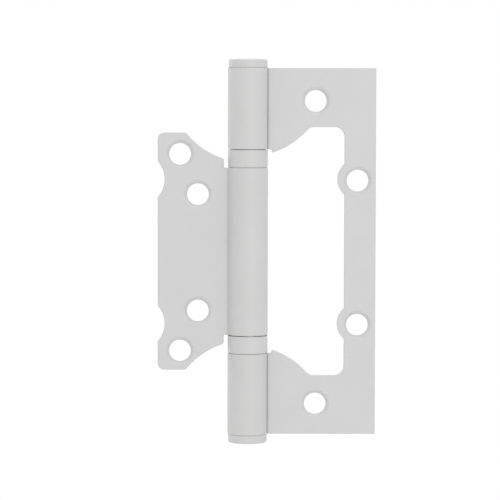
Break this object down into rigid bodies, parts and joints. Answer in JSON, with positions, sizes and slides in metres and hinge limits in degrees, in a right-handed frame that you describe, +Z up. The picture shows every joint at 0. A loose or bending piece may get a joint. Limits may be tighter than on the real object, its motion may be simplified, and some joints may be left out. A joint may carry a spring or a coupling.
{
  "type": "flush hinge",
  "caption": "Flush hinge with a rolled knuckle barrel, ball bearing rings, end caps and a small eared leaf that nests in the window of the large leaf.",
  "frame": {"origin": "on the pin axis, halfway up the leaves", "axes": "+Z up the pin, +X across the frame leaf, and -Y towards the side where the screw heads and the countersinks show with the leaves laid flat open"},
  "size_m": [0.0744, 0.0138, 0.1308],
  "materials": {
    "coated_leaf": "pale grey matt powder coat on sheet steel",
    "coated_barrel": "pale grey satin powder coat",
    "pin_steel": "ground steel",
    "bearing_steel": "hardened and lightly oiled steel",
    "ball_ring": "polished steel balls in a pressed cage"
  },
  "bodies": {
    "frame_side": {"frame_leaf": "coated_leaf", "hinge_pin": "pin_steel", "top_cap": "coated_barrel", "bottom_cap": "coated_barrel", "upper_top_race": "bearing_steel", "lower_bearing_shell": "coated_barrel", "lower_bottom_race": "bearing_steel"},
    "door_side": {"door_leaf": "coated_leaf", "upper_bearing_shell": "coated_barrel", "upper_bottom_race": "bearing_steel", "lower_top_race": "bearing_steel"},
    "upper_balls": {"upper_ball_ring": "ball_ring"},
    "lower_balls": {"lower_ball_ring": "ball_ring"}
  },
  "joints": [
    {"name": "leaf_swing", "type": "hinge", "parent": "frame_side", "child": "door_side", "pos_m": [0, 0, 0], "axis": [0, 0, 1], "range_deg": [0, 180]},
    {"name": "upper_balls_orbit", "type": "hinge", "parent": "frame_side", "child": "upper_balls", "pos_m": [0, 0, 0], "axis": [0, 0, 1], "range_deg": [0, 90]},
    {"name": "lower_balls_orbit", "type": "hinge", "parent": "frame_side", "child": "lower_balls", "pos_m": [0, 0, 0], "axis": [0, 0, 1], "range_deg": [0, 90]}
  ],
  "couplings": [
    {"joint": "upper_balls_orbit", "follows": "leaf_swing", "ratio": 0.5},
    {"joint": "lower_balls_orbit", "follows": "leaf_swing", "ratio": 0.5}
  ]
}
